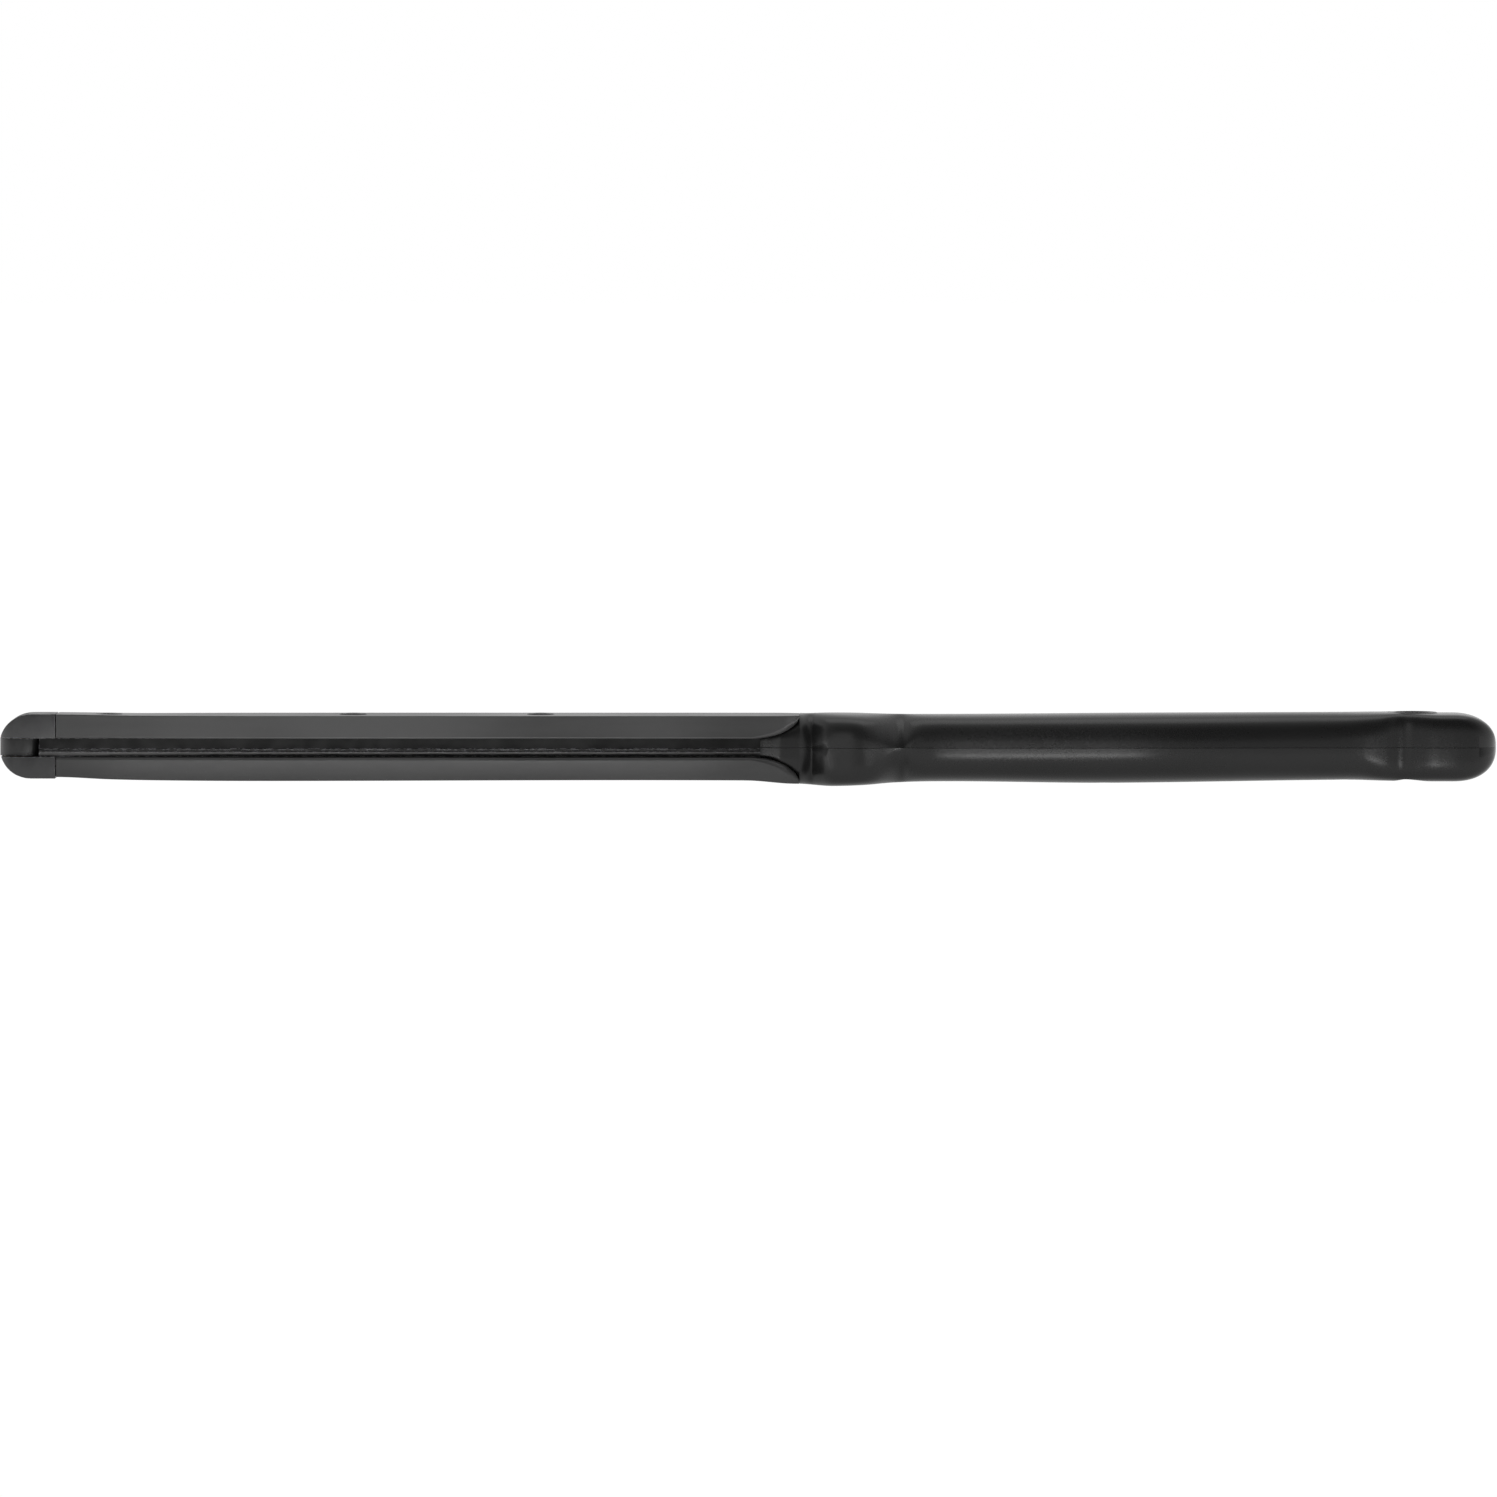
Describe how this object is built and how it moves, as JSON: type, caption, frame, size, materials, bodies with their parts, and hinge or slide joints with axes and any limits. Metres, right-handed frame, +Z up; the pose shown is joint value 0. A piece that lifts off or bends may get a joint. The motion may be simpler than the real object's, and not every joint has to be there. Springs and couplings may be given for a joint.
{
  "type": "breaker bar",
  "caption": "Long black flex-head breaker bar with a hinged drive square, slotted two-band shank, swollen guard, rounded grip and hang hole.",
  "frame": {"origin": "centre of the drive square's foot, at its shoulder, with the head folded to the side", "axes": "+X along the bar from the nose to the grip, +Y the way the drive square points, +Z up, along the hinge pin"},
  "size_m": [0.61, 0.0476, 0.03],
  "materials": {
    "black_steel": "black oxide, satin",
    "bright_steel": "machined and plated, satin",
    "polished_steel": "ground and polished",
    "bronze": "plain bronze or brass",
    "cover_plastic": "satin black filled nylon",
    "grip_plastic": "satin black, finely textured",
    "plug_rubber": "black rubber"
  },
  "bodies": {
    "handle": {"core_bar": "black_steel", "hinge_pin": "bright_steel", "pin_lock_screw": "black_steel", "upper_thrust_washer": "bronze", "lower_thrust_washer": "bronze", "tension_ball": "polished_steel", "tension_spring": "bright_steel", "upper_shank_cover": "cover_plastic", "lower_shank_cover": "cover_plastic", "cover_screws": "black_steel", "cover_sleeve_nuts": "black_steel", "upper_grip_half": "grip_plastic", "lower_grip_half": "grip_plastic", "grip_screws": "black_steel", "grip_inserts": "bronze", "screw_hole_plugs": "plug_rubber", "hang_eyelet": "black_steel", "eyelet_washer": "black_steel"},
    "head": {"drive_head": "black_steel", "detent_spring": "bright_steel"},
    "detent": {"detent_ball": "polished_steel"}
  },
  "joints": [
    {"name": "head_swing", "type": "hinge", "parent": "handle", "child": "head", "pos_m": [0, -0.0134, 0], "axis": [0, 0, 1], "range_deg": [0, 180]},
    {"name": "detent_press", "type": "slide", "parent": "head", "child": "detent", "axis": [0, 0, -1], "range_m": [0, 0.001], "stiffness_N_per_m": 2000, "springref_m": -0.002, "deforming": ["detent_spring"]}
  ]
}
